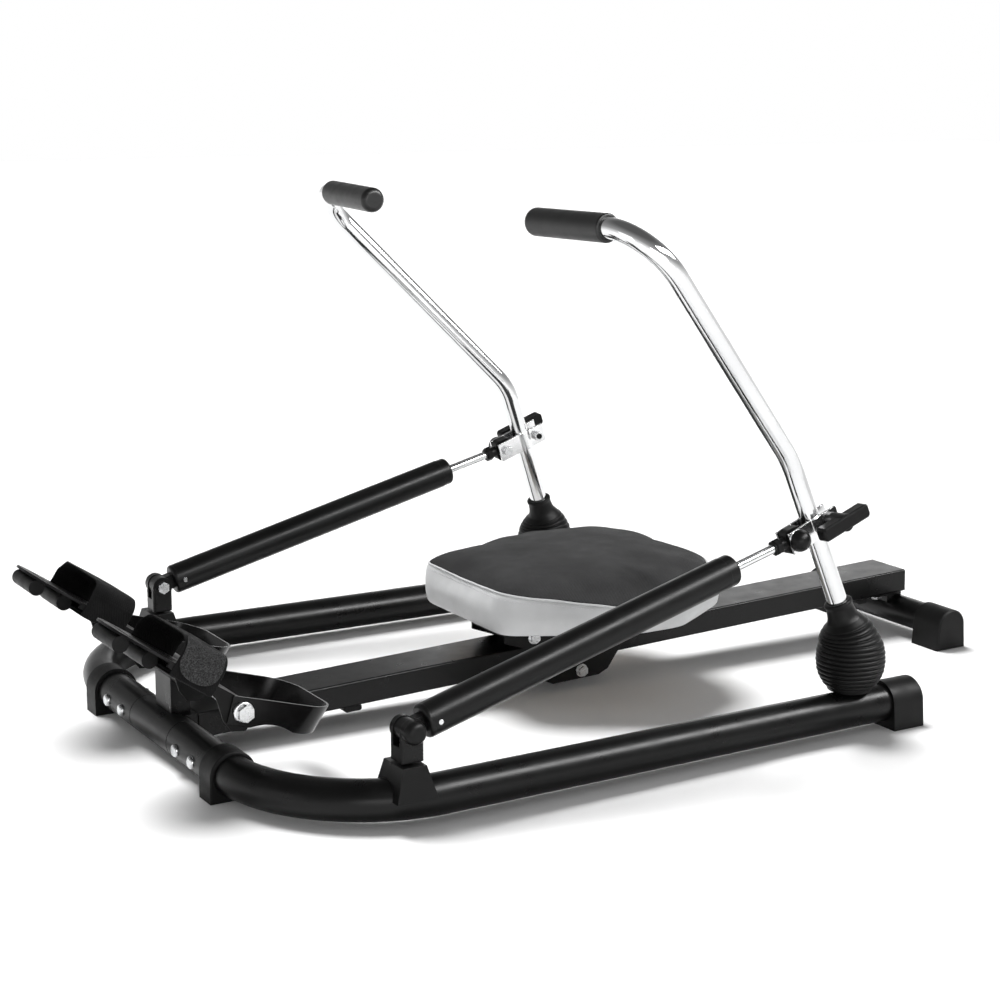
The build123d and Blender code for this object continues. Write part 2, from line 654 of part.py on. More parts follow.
def boot():
    """Rubber boot over the universal joint: round bulb, with a neck that grips the leaning arm."""
    x, y, _ = ARM_PIVOT
    axis_place = Pos(x - 3, y + 4, 0)
    bulb = axis_place * revolve(boot_outline(0), Axis.Z)
    hollow = axis_place * revolve(boot_outline(3.0), Axis.Z)
    neck = arm_frame * rod((0, 0, 8), (0, 0, 43), 17.0)
    bore = arm_frame * (rod((0, 0, 4), (0, 0, 50), ARM_R + 0.3) + rod((0, 0, 4), (0, 0, 22), 15.8))
    bore += arm_frame * rod((0, 0, 4), (0, 0, 29), 14.0)
    foot_hole = rod((x, y, 40), (x, y, 60), 16.3)
    return bulb + neck - hollow - bore - foot_hole - side_outer


# ---------------------------------------------------------------- seat and carriage, in the rail frame
BOARD_TOP = 50.0


def seat_outline(inset):
    """Seat in plan: narrow front, widest in the middle, rounded all round."""
    half = [(450, 106), (600, 201), (668, 206), (770, 148), (800, 80)]
    points = [(u, y) for u, y in half] + [(u, -y) for u, y in reversed(half)]
    sketch = make_face(Polyline(*points, close=True))
    sketch = fillet(sketch.vertices(), 38.0)
    return offset(sketch, -inset, kind=Kind.ARC) if inset else sketch


def seat_cushion():
    body = extrude(Pos(0, 0, SEAT_BOTTOM) * seat_outline(2), 58)
    body = fillet(body.edges().group_by(Axis.Z)[-1], 12.0)
    pocket = extrude(Pos(0, 0, SEAT_BOTTOM - 1) * seat_outline(17.7), BOARD_TOP + 0.3 - SEAT_BOTTOM + 1)
    return rail_frame * (body - pocket)


def seat_board():
    return rail_frame * extrude(Pos(0, 0, 40) * seat_outline(18), BOARD_TOP - 40)


def carriage():
    """Steel channel that straddles the rail, with a lobe each side for the lower roller."""
    top = block((492, 737), (-44, 44), (37, 40))
    front_lip = block((492, 495), (-44, 44), (20, 40))
    channel = top + front_lip
    for y in (-44.0, 41.0):
        with BuildSketch(Plane(origin=(0, y + 3, 0), x_dir=(1, 0, 0), z_dir=(0, -1, 0))) as cheek:
            with BuildLine():
                Polyline(
                    (492, 40), (737, 40), (737, -4), (690, -8), (672, -30), (655, -52), (640, -58),
                    (566, -58), (550, -50), (540, -8), (492, 12), close=True,
                )
            make_face()
        channel += extrude(cheek.sketch, 3)
    for u in UPPER_AXLES:
        channel -= rod((u, -50, ROLLER_R + 0.3), (u, 50, ROLLER_R + 0.3), 4.0)
    channel -= rod((SEAT_U, -50, LOWER_AXLE_W), (SEAT_U, 50, LOWER_AXLE_W), 4.0)
    return rail_frame * channel


def carriage_axles():
    """Three axle bolts with heads and nuts, and four bolts that hold the board."""
    solids = []
    places = [(u, ROLLER_R + 0.3) for u in UPPER_AXLES] + [(SEAT_U, LOWER_AXLE_W)]
    for u, w in places:
        axle = rod((u, -50, w), (u, 51, w), 4.0)
        axle += rod((u, -44, w), (u, -45.6, w), 9.0)
        axle += hexagon((u, -45.6, w), (u, -51, w), 13.0)
        nut = hexagon((u, 44, w), (u, 50, w), 13.0) - rod((u, 40, w), (u, 55, w), 4.0)
        solids += list((rail_frame * axle).solids()) + list((rail_frame * nut).solids())
    return solids


def roller(u, w, r, half_wheels):
    """Pair of nylon wheels joined by their hub."""
    wheels = rod((u, -37, w), (u, 37, w), 7.5)
    for low, high in half_wheels:
        tyre = rod((u, low, w), (u, high, w), r)
        wheels += fillet(tyre.edges().filter_by(GeomType.CIRCLE), 1.5)
    return rail_frame * (wheels - rod((u, -40, w), (u, 40, w), 4.0 + RUNNING))


# ---------------------------------------------------------------- build every node
save("front_tube", front_tube())
save_pair("side_tube", side_tube())
save("frame_fasteners", frame_fasteners())
save("front_feet", both(front_foot()))
save("side_tube_caps", both(side_tube_cap()))
save("rail", rail())
save("rail_end_plug", rail_end_plug())
save("rail_front_bracket", rail_front_bracket())
save("rear_bracket", rear_bracket())
save("rear_cross_tube", rear_cross_tube())
save("rear_foot_caps", both(rear_foot_cap()))
save("rail_bumpers", rail_bumpers())
save("footrest_post", footrest_post())
save("pedal_bolts", both(pedal_bolt()))
save_pair("foot_plate", foot_plate())
save_pair("heel_band", heel_band())
save_pair("foot_strap", foot_strap())
save("cylinder_bases", both(cylinder_base()))
save_pair("swivel_fork", swivel_fork())
save_pair("fork_bolt", fork_bolt())
save_pair("cylinder_tube", cylinder_tube())
save_pair("cylinder_end", cylinder_end())
save_pair("cylinder_pin", cylinder_pin())
save_pair("gland_cap", gland_cap())
save_pair("piston_rod", piston_rod())
eye_and_nut = rod_end()
save("rod_end_right", [s for part in eye_and_nut for s in part.solids()])
save("rod_end_left", [s for part in eye_and_nut for s in mirrored(part).solids()])
save("arm_posts", both(arm_post()))
save_pair("universal_cross", universal_cross())
save_pair("arm_tube", arm_tube())
save_pair("grip", grip())
right_plates = clamp_plates()
save("clamp_plates_right", right_plates)
save("clamp_plates_left", [mirrored(s) for s in right_plates])
right_bolts = clamp_bolt()
save("clamp_bolts_right", right_bolts)
save("clamp_bolts_left", [mirrored(s) for s in right_bolts])
save_pair("clamp_knob", clamp_knob())
save_pair("boot", boot())
save("seat_cushion", seat_cushion())
save("seat_board", seat_board())
save("carriage", carriage())
save("carriage_axles", carriage_axles())
wide_pair = ((-36, -18), (18, 36))
save("roller_front", roller(UPPER_AXLES[0], ROLLER_R + 0.3, ROLLER_R, wide_pair))
save("roller_rear", roller(UPPER_AXLES[1], ROLLER_R + 0.3, ROLLER_R, wide_pair))
save("roller_lower", roller(SEAT_U, LOWER_AXLE_W, LOWER_ROLLER_R, wide_pair))

low = [min(getattr(b.min, axis) for b in boxes) for axis in "XYZ"]
high = [max(getattr(b.max, axis) for b in boxes) for axis in "XYZ"]
print("overall box", [round(v, 2) for v in low], [round(v, 2) for v in high])
print("hinge axis", hinge_axis, "cylinder axis", cyl_dir, "splay axis", arm_back)
print("rod pivot", rod_pivot, "length", CYL_LENGTH)
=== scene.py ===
"""Looks of the rowing machine: materials, seat cushion, boots, straps, floor, light and camera."""

import math

import bmesh
import bpy
from mathutils import Matrix, Quaternion, Vector, noise
from mathutils.bvhtree import BVHTree


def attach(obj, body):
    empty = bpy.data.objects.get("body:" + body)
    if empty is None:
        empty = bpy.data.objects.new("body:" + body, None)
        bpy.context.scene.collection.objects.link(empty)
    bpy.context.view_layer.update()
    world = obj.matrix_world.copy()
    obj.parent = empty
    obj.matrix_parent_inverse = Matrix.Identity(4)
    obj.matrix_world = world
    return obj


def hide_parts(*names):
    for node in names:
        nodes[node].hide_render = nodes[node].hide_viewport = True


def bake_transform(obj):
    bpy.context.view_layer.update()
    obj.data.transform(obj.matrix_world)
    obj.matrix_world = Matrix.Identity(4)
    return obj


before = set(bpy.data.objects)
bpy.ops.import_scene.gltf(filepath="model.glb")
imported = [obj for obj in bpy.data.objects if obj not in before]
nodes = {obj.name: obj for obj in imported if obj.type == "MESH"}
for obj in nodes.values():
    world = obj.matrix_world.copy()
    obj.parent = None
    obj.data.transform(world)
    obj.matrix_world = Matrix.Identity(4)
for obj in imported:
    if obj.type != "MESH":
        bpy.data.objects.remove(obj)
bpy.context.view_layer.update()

MM = 0.001
ORIGIN_X = 556.545           # the frame's X = 0, in mm behind the front feet
SIDES = (("right", 1), ("left", -1))


def place(x, y, z):
    """Point in metres from millimetres measured from the front of the front feet."""
    return Vector(((x - ORIGIN_X) * MM, y * MM, z * MM))


# ---------------------------------------------------------------- materials
class Look:
    """Small helper that wires up one procedural material."""

    def __init__(self, name, rough, metal=0.0, **sockets):
        self.mat = bpy.data.materials.new(name)
        self.mat.use_nodes = True
        self.tree = self.mat.node_tree
        self.shader = self.tree.nodes["Principled BSDF"]
        self.shader.inputs["Metallic"].default_value = metal
        self.shader.inputs["Roughness"].default_value = rough
        for key, value in sockets.items():
            self.shader.inputs[key.replace("_", " ")].default_value = value
        self.coord = self.add("ShaderNodeTexCoord").outputs["Object"]
        self.normal = None

    def add(self, kind, **values):
        node = self.tree.nodes.new(kind)
        for key, value in values.items():
            setattr(node, key, value)
        return node

    def link(self, a, b):
        self.tree.links.new(a, b)

    def math(self, operation, a, b):
        node = self.add("ShaderNodeMath", operation=operation)
        for socket, value in zip(node.inputs, (a, b)):
            if isinstance(value, (int, float)):
                socket.default_value = value
            else:
                self.link(value, socket)
        return node.outputs[0]

    def noise(self, scale, detail=3.0, rough=0.55, stretch=None):
        source = self.coord
        if stretch:
            mapping = self.add("ShaderNodeMapping")
            mapping.inputs["Scale"].default_value = stretch
            self.link(source, mapping.inputs["Vector"])
            source = mapping.outputs["Vector"]
        node = self.add("ShaderNodeTexNoise")
        node.inputs["Scale"].default_value = scale
        node.inputs["Detail"].default_value = detail
        node.inputs["Roughness"].default_value = rough
        self.link(source, node.inputs["Vector"])
        return node.outputs["Fac"]

    def cells(self, scale, feature="DISTANCE_TO_EDGE"):
        node = self.add("ShaderNodeTexVoronoi", feature=feature)
        node.inputs["Scale"].default_value = scale
        self.link(self.coord, node.inputs["Vector"])
        return node.outputs["Distance"]

    def waves(self, axis, pitch):
        """Sine ridges across one axis, pitch in metres."""
        split = self.add("ShaderNodeSeparateXYZ")
        self.link(self.coord, split.inputs[0])
        turns = self.math("MULTIPLY", split.outputs[axis], 2 * math.pi / pitch)
        return self.math("SINE", turns, 0.0)

    def ramp(self, fac, stops):
        node = self.add("ShaderNodeValToRGB")
        elements = node.color_ramp.elements
        while len(elements) < len(stops):
            elements.new(0.5)
        for element, (position, value) in zip(elements, stops):
            element.position = position
            rgb = value if isinstance(value, tuple) else (value, value, value)
            element.color = (*rgb, 1.0)
        self.link(fac, node.inputs["Fac"])
        return node.outputs["Color"]

    def colour(self, fac, stops):
        self.link(self.ramp(fac, stops), self.shader.inputs["Base Color"])
        return self

    def roughness(self, fac, stops):
        self.link(self.ramp(fac, stops), self.shader.inputs["Roughness"])
        return self

    def bump(self, height, depth_mm, strength=1.0):
        node = self.add("ShaderNodeBump")
        node.inputs["Strength"].default_value = strength
        node.inputs["Distance"].default_value = depth_mm * MM
        self.link(height, node.inputs["Height"])
        if self.normal is not None:
            self.link(self.normal, node.inputs["Normal"])
        self.normal = node.outputs["Normal"]
        self.link(self.normal, self.shader.inputs["Normal"])
        return self

    def round_edges(self, radius_mm):
        """Softens the sharp edges of a machined or moulded part, in shading only."""
        node = self.add("ShaderNodeBevel", samples=4)
        node.inputs["Radius"].default_value = radius_mm * MM
        self.normal = node.outputs["Normal"]
        self.link(self.normal, self.shader.inputs["Normal"])
        return self


def powder_coat(name, dark, light, rough_low, rough_high):
    look = Look(name, 0.35, Specular_IOR_Level=0.2)
    look.round_edges(0.8)
    look.colour(look.noise(9.0, 4.0), [(0.3, dark), (0.7, light)])
    look.roughness(look.noise(38.0, 5.0), [(0.3, rough_low), (0.7, rough_high)])
    look.bump(look.noise(1400.0, 2.0), 0.05, 0.25)
    return look.mat


def moulded(name, dark, light, rough_low, rough_high, grain=1500.0, depth=0.08, shine=0.16):
    look = Look(name, 0.5, Specular_IOR_Level=shine)
    look.round_edges(1.0)
    look.colour(look.noise(14.0, 4.0), [(0.3, dark), (0.7, light)])
    look.roughness(look.noise(60.0, 4.0), [(0.3, rough_low), (0.7, rough_high)])
    look.bump(look.noise(grain, 2.0, 0.6), depth, 0.5)
    return look.mat


def metal(name, low, high, rough_low, rough_high, scratch=0.3):
    look = Look(name, 0.2, 1.0)
    look.round_edges(0.5)
    look.colour(look.noise(20.0, 4.0), [(0.3, low), (0.7, high)])
    look.roughness(look.noise(120.0, 6.0, 0.65), [(0.3, rough_low), (0.75, rough_high)])
    look.bump(look.noise(900.0, 3.0, 0.6), 0.02, scratch)
    return look.mat


def chrome_plate():
    look = Look("chrome_plate", 0.07, 1.0)
    look.colour(look.noise(8.0, 3.0), [(0.3, (0.68, 0.685, 0.69)), (0.7, (0.74, 0.743, 0.747))])
    look.roughness(look.noise(70.0, 6.0, 0.7), [(0.35, 0.05), (0.75, 0.12)])
    look.bump(look.noise(60.0, 2.0), 0.05, 0.12)
    return look.mat


def knit_fabric():
    """Dark mesh cloth of the seat top: small raised cells with a faint mottle."""
    look = Look("seat_knit", 0.8, Specular_IOR_Level=0.2, Sheen_Weight=0.06, Sheen_Roughness=0.4)
    weave = look.math("MULTIPLY", look.waves(0, 0.0026), look.waves(1, 0.0026))
    fibre = look.noise(2600.0, 2.0)
    mixed = look.math("ADD", look.math("MULTIPLY", weave, 0.3), look.math("MULTIPLY", fibre, 0.5))
    mottle = look.math("MULTIPLY", look.noise(11.0, 4.0), 0.4)
    tone = look.math("ADD", mottle, look.math("MULTIPLY", mixed, 0.6))
    look.colour(tone, [(0.2, (0.008, 0.008, 0.0083)), (0.65, (0.062, 0.062, 0.063))])
    look.roughness(look.noise(30.0, 3.0), [(0.3, 0.68), (0.7, 0.86)])
    look.bump(mixed, 0.7, 0.8)
    look.bump(look.noise(26.0, 3.0), 2.0, 0.18)
    return look.mat


def white_vinyl():
    look = Look("white_vinyl", 0.45, Specular_IOR_Level=0.45, Coat_Weight=0.08, Coat_Roughness=0.35)
    look.colour(look.noise(16.0, 5.0), [(0.3, (0.54, 0.545, 0.55)), (0.7, (0.64, 0.645, 0.65))])
    look.roughness(look.noise(45.0, 4.0), [(0.3, 0.38), (0.7, 0.56)])
    look.bump(look.cells(520.0), 0.35, 0.35)
    look.bump(look.noise(30.0, 3.0), 1.6, 0.2)
    return look.mat


def webbing(name, pitch, dark, light, fuzz, grain=1100.0, spread=0.3):
    look = Look(name, 0.8, Sheen_Weight=0.03, Sheen_Roughness=0.5, Specular_IOR_Level=0.12)
    ridges = look.math("MULTIPLY", look.waves(0, pitch), look.waves(1, pitch))
    fibre = look.noise(grain, 3.0, 0.7)
    mixed = look.math("ADD", look.math("MULTIPLY", ridges, 1.0 - fuzz), look.math("MULTIPLY", fibre, fuzz))
    look.colour(mixed, [(0.5 - spread, dark), (0.5 + spread, light)])
    look.roughness(look.noise(50.0, 3.0), [(0.3, 0.7), (0.7, 0.92)])
    look.bump(mixed, 0.5, 0.7)
    return look.mat


def plywood():
    look = Look("plywood", 0.6)
    grain = look.noise(22.0, 6.0, 0.6, (1.0, 9.0, 9.0))
    look.colour(grain, [(0.3, (0.34, 0.27, 0.20)), (0.7, (0.50, 0.41, 0.31))])
    look.roughness(grain, [(0.3, 0.5), (0.7, 0.72)])
    look.bump(grain, 0.4, 0.4)
    return look.mat


def thread():
    look = Look("thread", 0.6, Sheen_Weight=0.2)
    look.colour(look.noise(900.0, 2.0), [(0.3, (0.55, 0.55, 0.56)), (0.7, (0.72, 0.72, 0.73))])
    look.bump(look.noise(3000.0, 2.0), 0.1, 0.5)
    return look.mat


frame_paint = powder_coat("frame_powder_coat", 0.0022, 0.0042, 0.26, 0.36)
cylinder_paint = powder_coat("cylinder_paint", 0.0022, 0.0042, 0.3, 0.4)
band_paint = powder_coat("band_paint", 0.0028, 0.0052, 0.17, 0.28)
cap_plastic = moulded("cap_plastic", 0.0028, 0.0055, 0.42, 0.56)
pedal_plastic = moulded("pedal_plastic", 0.0022, 0.0048, 0.4, 0.55)
knob_plastic = moulded("knob_plastic", 0.0028, 0.0055, 0.32, 0.46)
rubber = moulded("rubber", 0.003, 0.006, 0.5, 0.66, 1100.0, 0.1)
boot_rubber = moulded("boot_rubber", 0.0028, 0.0055, 0.38, 0.52, 900.0, 0.08)
foam = moulded("grip_foam", 0.0026, 0.0055, 0.34, 0.46, 1800.0, 0.12, 0.42)
nylon = moulded("nylon", 0.04, 0.06, 0.35, 0.5)
zinc = metal("zinc_plate", (0.60, 0.61, 0.62), (0.72, 0.725, 0.73), 0.2, 0.36)
bright_steel = metal("bright_steel", (0.70, 0.705, 0.71), (0.82, 0.82, 0.825), 0.14, 0.26)
chrome = chrome_plate()
knit = knit_fabric()
vinyl = white_vinyl()
strap_web = webbing("strap_webbing", 0.0022, (0.0025, 0.0025, 0.0027), (0.007, 0.007, 0.0072), 0.35)
velcro = webbing("strap_loop_pile", 0.0016, (0.003, 0.003, 0.0032), (0.085, 0.085, 0.086), 0.92, 700.0, 0.17)
wood = plywood()
stitch_thread = thread()

NODE_LOOKS = {
    frame_paint: (
        "front_tube", "side_tube_right", "side_tube_left", "rail", "rail_front_bracket", "rear_bracket",
        "rear_cross_tube", "footrest_post", "cylinder_bases", "arm_posts", "carriage",
        "swivel_fork_right", "swivel_fork_left",
    ),
    cylinder_paint: (
        "cylinder_tube_right", "cylinder_tube_left", "cylinder_end_right", "cylinder_end_left",
        "gland_cap_right", "gland_cap_left",
    ),
    band_paint: ("heel_band_right", "heel_band_left"),
    cap_plastic: ("front_feet", "side_tube_caps", "rear_foot_caps", "rail_end_plug"),
    pedal_plastic: ("foot_plate_right", "foot_plate_left"),
    knob_plastic: ("rod_end_right", "rod_end_left", "clamp_knob_right", "clamp_knob_left"),
    rubber: ("rail_bumpers",),
    foam: ("grip_right", "grip_left"),
    nylon: ("roller_front", "roller_rear", "roller_lower"),
    zinc: (
        "frame_fasteners", "pedal_bolts", "carriage_axles", "universal_cross_right", "universal_cross_left",
        "fork_bolt_right", "fork_bolt_left", "clamp_bolts_right", "clamp_bolts_left",
        "cylinder_pin_right", "cylinder_pin_left",
    ),
    bright_steel: ("clamp_plates_right", "clamp_plates_left"),
    chrome: ("arm_tube_right", "arm_tube_left", "piston_rod_right", "piston_rod_left"),
    wood: ("seat_board",),
}
for look, names in NODE_LOOKS.items():
    for name in names:
        nodes[name].data.materials.clear()
        nodes[name].data.materials.append(look)


BOLT_AXIS = (0.0351, 0.9994)         # outward direction of the pivot bolts, as x and y
BOLT_CAPS = (                        # node, middle of its bolt, and where its outer cap starts along the axis
    ("fork_bolt", (169.0, 369.0, 111.0), 15.2),
    ("clamp_bolts", (722.9, 349.6, 259.4), 13.2),
)


def black_caps():
    """The ball caps on the outer ends of the pivot bolts are black plastic."""
    for name, sign in SIDES:
        outward = Vector((BOLT_AXIS[0], sign * BOLT_AXIS[1], 0))
        for node, (x, y, z), start in BOLT_CAPS:
            middle = place(x, sign * y, z)
            bolt = nodes[f"{node}_{name}"]
            bolt.data.materials.append(knob_plastic)
            for polygon in bolt.data.polygons:
                reach = (bolt.matrix_world @ polygon.center - middle).dot(outward)
                if reach > start * MM:
                    polygon.material_index = 1


black_caps()


# ---------------------------------------------------------------- mesh helpers
def new_object(name, verts, faces, looks, smooth=True, face_looks=None):
    mesh = bpy.data.meshes.new(name)
    mesh.from_pydata([tuple(v) for v in verts], [], faces)
    for look in looks:
        mesh.materials.append(look)
    if face_looks:
        for polygon, index in zip(mesh.polygons, face_looks):
            polygon.material_index = index
    for polygon in mesh.polygons:
        polygon.use_smooth = smooth
    obj = bpy.data.objects.new(name, mesh)
    bpy.context.scene.collection.objects.link(obj)
    return obj


def fix_normals(obj):
    bm = bmesh.new()
    bm.from_mesh(obj.data)
    bmesh.ops.recalc_face_normals(bm, faces=bm.faces)
    bm.to_mesh(obj.data)
    bm.free()


def apply_modifiers(obj):
    """Replaces the mesh with its evaluated result and clears the modifiers."""
    graph = bpy.context.evaluated_depsgraph_get()
    mesh = bpy.data.meshes.new_from_object(obj.evaluated_get(graph), depsgraph=graph)
    obj.modifiers.clear()
    obj.data = mesh
    for polygon in mesh.polygons:
        polygon.use_smooth = True


def subdivide(obj, levels=1):
    obj.modifiers.new("smooth", "SUBSURF").levels = levels
    apply_modifiers(obj)


def rings_to_mesh(rings, close_start=True, close_end=True):
    """Quads between closed rings of equal length, with the first and last ring filled."""
    count = len(rings[0])
    verts = [p for ring in rings for p in ring]
    faces = []
    for r in range(len(rings) - 1):
        for i in range(count):
            j = (i + 1) % count
            faces.append((r * count + i, r * count + j, (r + 1) * count + j, (r + 1) * count + i))
    if close_start:
        faces.append(tuple(reversed(range(count))))
    if close_end:
        faces.append(tuple(range((len(rings) - 1) * count, len(rings) * count)))
    return verts, faces


def tube_along(points, radius, sides=8, closed=False):
    """Round bar that follows a list of points."""
    rings = []
    count = len(points)
    for i, p in enumerate(points):
        before = points[(i - 1) % count] if closed or i else p
        after = points[(i + 1) % count] if closed or i < count - 1 else p
        along = (after - before).normalized()
        side = along.cross(Vector((0, 0, 1)))
        side = side.normalized() if side.length > 1e-6 else Vector((1, 0, 0))
        up = side.cross(along)
        angles = [2 * math.pi * k / sides for k in range(sides)]
        rings.append([p + side * (radius * math.cos(a)) + up * (radius * math.sin(a)) for a in angles])
    if closed:
        rings.append(rings[0])
        return rings_to_mesh(rings, False, False)
    return rings_to_mesh(rings)


def tree_of(obj):
    """Search tree for the nearest point on a mesh."""
    return BVHTree.FromPolygons([v.co for v in obj.data.vertices], [p.vertices for p in obj.data.polygons])


# ---------------------------------------------------------------- seat cushion
RAIL_SLOPE = math.radians(2.0)
RAIL_Z0 = 52.3


def on_rail(u, y, w):
    """Point from rail coordinates: u along the rail, w above its top face."""
    x = u * math.cos(RAIL_SLOPE) - w * math.sin(RAIL_SLOPE)
    z = RAIL_Z0 + u * math.sin(RAIL_SLOPE) + w * math.cos(RAIL_SLOPE)
    return place(x, y, z)


SEAT_CORNERS = [  # u, y, height of the seam above the rail
    (450, 106, 101), (600, 200, 78), (668, 205, 79), (770, 148, 90), (800, 80, 91),
]
SEAT_BOTTOM = 42.0                   # heights above the rail
SEAT_CROWN = 112.0
SEAT_CENTRE = (618.0, 0.0)
SEAT_SIDE_STEPS = (0.0, 0.04, 0.12, 0.3, 0.5, 0.7, 0.86, 0.95)
SEAT_TOP_SCALES = (0.972, 0.95, 0.91, 0.85, 0.77, 0.67, 0.56, 0.44, 0.32, 0.2, 0.1)
SEAM_SINK = 0.0022
WELT_RADIUS = 0.0014


def smooth_loop(points, rounds=2):
    """Closed loop with each point drawn towards its neighbours."""
    for _ in range(rounds):
        count = len(points)
        points = [(points[i - 1] + points[i] * 2 + points[(i + 1) % count]) / 4 for i in range(count)]
    return points


def seat_outline(count=168, radius=36.0):
    """Outline with rounded corners as (u, y, seam height), evenly spaced."""
    corners = [Vector(c) for c in SEAT_CORNERS] + [Vector((u, -y, w)) for u, y, w in reversed(SEAT_CORNERS)]
    loop = []
    for i, corner in enumerate(corners):
        before = (corners[i - 1] - corner).normalized()
        after = (corners[(i + 1) % len(corners)] - corner).normalized()
        reach = radius * math.tan((math.pi - before.angle(after)) / 2)
        start, stop = corner + before * reach, corner + after * reach
        for k in range(13):
            t = k / 12
            loop.append(start.lerp(corner, t).lerp(corner.lerp(stop, t), t))
    lengths = [(loop[(i + 1) % len(loop)] - p).length for i, p in enumerate(loop)]
    step = sum(lengths) / count
    out, i, travelled = [], 0, 0.0
    for k in range(count):
        while travelled + lengths[i] < k * step:
            travelled += lengths[i]
            i += 1
        out.append(loop[i].lerp(loop[(i + 1) % len(loop)], (k * step - travelled) / lengths[i]))
    return smooth_loop(out, 1)


def build_cushion():
    """Closed pad of rings: underside, side wall, seam ring and crowned top."""
    outline = seat_outline()
    cu, cy = SEAT_CENTRE
    rings = []
    for scale in (0.55, 0.95):
        rings.append([on_rail(cu + (u - cu) * scale, y * scale, SEAT_BOTTOM) for u, y, w in outline])
    for t in SEAT_SIDE_STEPS:
        bulge = 0.992 + 0.014 * math.sin(math.pi * t) ** 0.7 - 0.018 * (1 - t) ** 14
        ring = []
        for u, y, w in outline:
            height = SEAT_BOTTOM + (w - SEAT_BOTTOM) * t
            ring.append(on_rail(cu + (u - cu) * bulge, y * bulge, height))
        rings.append(ring)
    seam_ring = len(rings)
    rings.append([on_rail(cu + (u - cu) * 0.984, y * 0.984, w) for u, y, w in outline])
    for scale in SEAT_TOP_SCALES:
        rise = (1 - scale) ** 0.5
        ring = []
        for u, y, w in outline:
            pu, py = cu + (u - cu) * scale, y * scale
            blend = scale ** 2.8
            height = w * blend + SEAT_CROWN * (1 - blend) + 7.0 * rise * blend
            crease = noise.noise(Vector((pu * 0.011, py * 0.011, 3.1))) * 2.6 * (1 - scale ** 8)
            ring.append(on_rail(pu, py, height + crease))
        rings.append(ring)
    verts, faces = rings_to_mesh(rings)
    count = len(outline)
    looks = []
    for index in range(len(faces)):
        ring = index // count
        looks.append(0 if ring >= seam_ring and index < len(faces) - 2 or index == len(faces) - 1 else 1)
    obj = new_object("seat_pad", verts, faces, [knit, vinyl], face_looks=looks)
    fix_normals(obj)
    return obj, seam_ring, count


PUFF_VOXEL = 0.006
PUFF_PRESSURE = 3.5
BOARD_DEPTH = 0.016                  # the cushion is held this far up from its underside
PUFF_SHARE = 0.85


def inflate(obj, frames=20, cap=0.005):
    """Puffs a remeshed copy with cloth pressure, then draws the clean mesh onto it."""
    puff = obj.copy()
    puff.data = obj.data.copy()
    bpy.context.scene.collection.objects.link(puff)
    remesh = puff.modifiers.new("remesh", "REMESH")
    remesh.mode = "VOXEL"
    remesh.voxel_size = PUFF_VOXEL
    apply_modifiers(puff)
    before = [v.co.copy() for v in puff.data.vertices]
    low = min(v.z for v in before)
    pins = puff.vertex_groups.new(name="board")
    pins.add([i for i, v in enumerate(before) if v.z < low + BOARD_DEPTH], 1.0, "REPLACE")
    cloth = puff.modifiers.new("cloth", "CLOTH")
    settings = cloth.settings
    settings.use_pressure = True
    settings.uniform_pressure_force = PUFF_PRESSURE
    settings.effector_weights.gravity = 0.0
    settings.vertex_group_mass = "board"
    settings.tension_stiffness = 22.0
    settings.compression_stiffness = 22.0
    settings.shear_stiffness = 12.0
    settings.bending_stiffness = 3.0
    scene = bpy.context.scene
    for number in range(1, frames + 1):
        scene.frame_set(number)
    apply_modifiers(puff)
    for vertex, start in zip(puff.data.vertices, before):
        move = vertex.co - start
        if move.length > cap:
            vertex.co = start + move.normalized() * cap
    scene.frame_set(1)
    tree = tree_of(puff)
    for vertex in obj.data.vertices:
        hit = tree.find_nearest(vertex.co)[0]
        if hit is not None:
            vertex.co = vertex.co.lerp(hit, PUFF_SHARE)
    bpy.data.objects.remove(puff)


cushion, SEAM_RING, RING = build_cushion()
inflate(cushion)


def ring_points(ring):
    """Points of one ring of the cushion, before it is subdivided."""
    return [cushion.data.vertices[ring * RING + i].co.copy() for i in range(RING)]


seam = ring_points(SEAM_RING)
below_a, below_b = ring_points(SEAM_RING - 1), ring_points(SEAM_RING - 2)
# The seam ring sinks a little, so that cloth and vinyl meet in a groove.
centre = on_rail(*SEAT_CENTRE, 80.0)
for i in range(RING):
    vertex = cushion.data.vertices[SEAM_RING * RING + i]
    vertex.co += (centre - vertex.co).normalized() * SEAM_SINK
subdivide(cushion)
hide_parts("seat_cushion")
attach(cushion, "seat")


welt = new_object("seat_welt", *tube_along(smooth_loop(seam), WELT_RADIUS, 8, True), [vinyl])
fix_normals(welt)
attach(welt, "seat")


def stitches(name, path, body, pitch=0.0062, length=0.0042, radius=0.00042):
    """Row of short thread ends along a closed path."""
    verts, faces = [], []
    lengths = [(path[(i + 1) % len(path)] - p).length for i, p in enumerate(path)]
    total = sum(lengths)
    count = int(total / pitch)
    i, travelled = 0, 0.0
    for k in range(count):
        at = k * total / count
        while travelled + lengths[i] < at:
            travelled += lengths[i]
            i += 1
        a, b = path[i], path[(i + 1) % len(path)]
        p = a.lerp(b, (at - travelled) / lengths[i])
        along = (b - a).normalized()
        half = along * length / 2
        ends = [p - half, p - half * 0.6, p, p + half * 0.6, p + half]
        more, quads = tube_along(ends, radius, 5)
        faces += [tuple(v + len(verts) for v in quad) for quad in quads]
        verts += more
    obj = new_object(name, verts, faces, [stitch_thread])
    fix_normals(obj)
    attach(obj, body)
    return obj


skin = tree_of(cushion)
line = [a.lerp(b, 0.95) for a, b in zip(below_a, below_b)]
stitch_line = []
for p in smooth_loop(line):
    spot, normal, _, _ = skin.find_nearest(p)
    stitch_line.append(spot + normal * 0.0001)
stitches("seat_stitches", stitch_line, "seat")


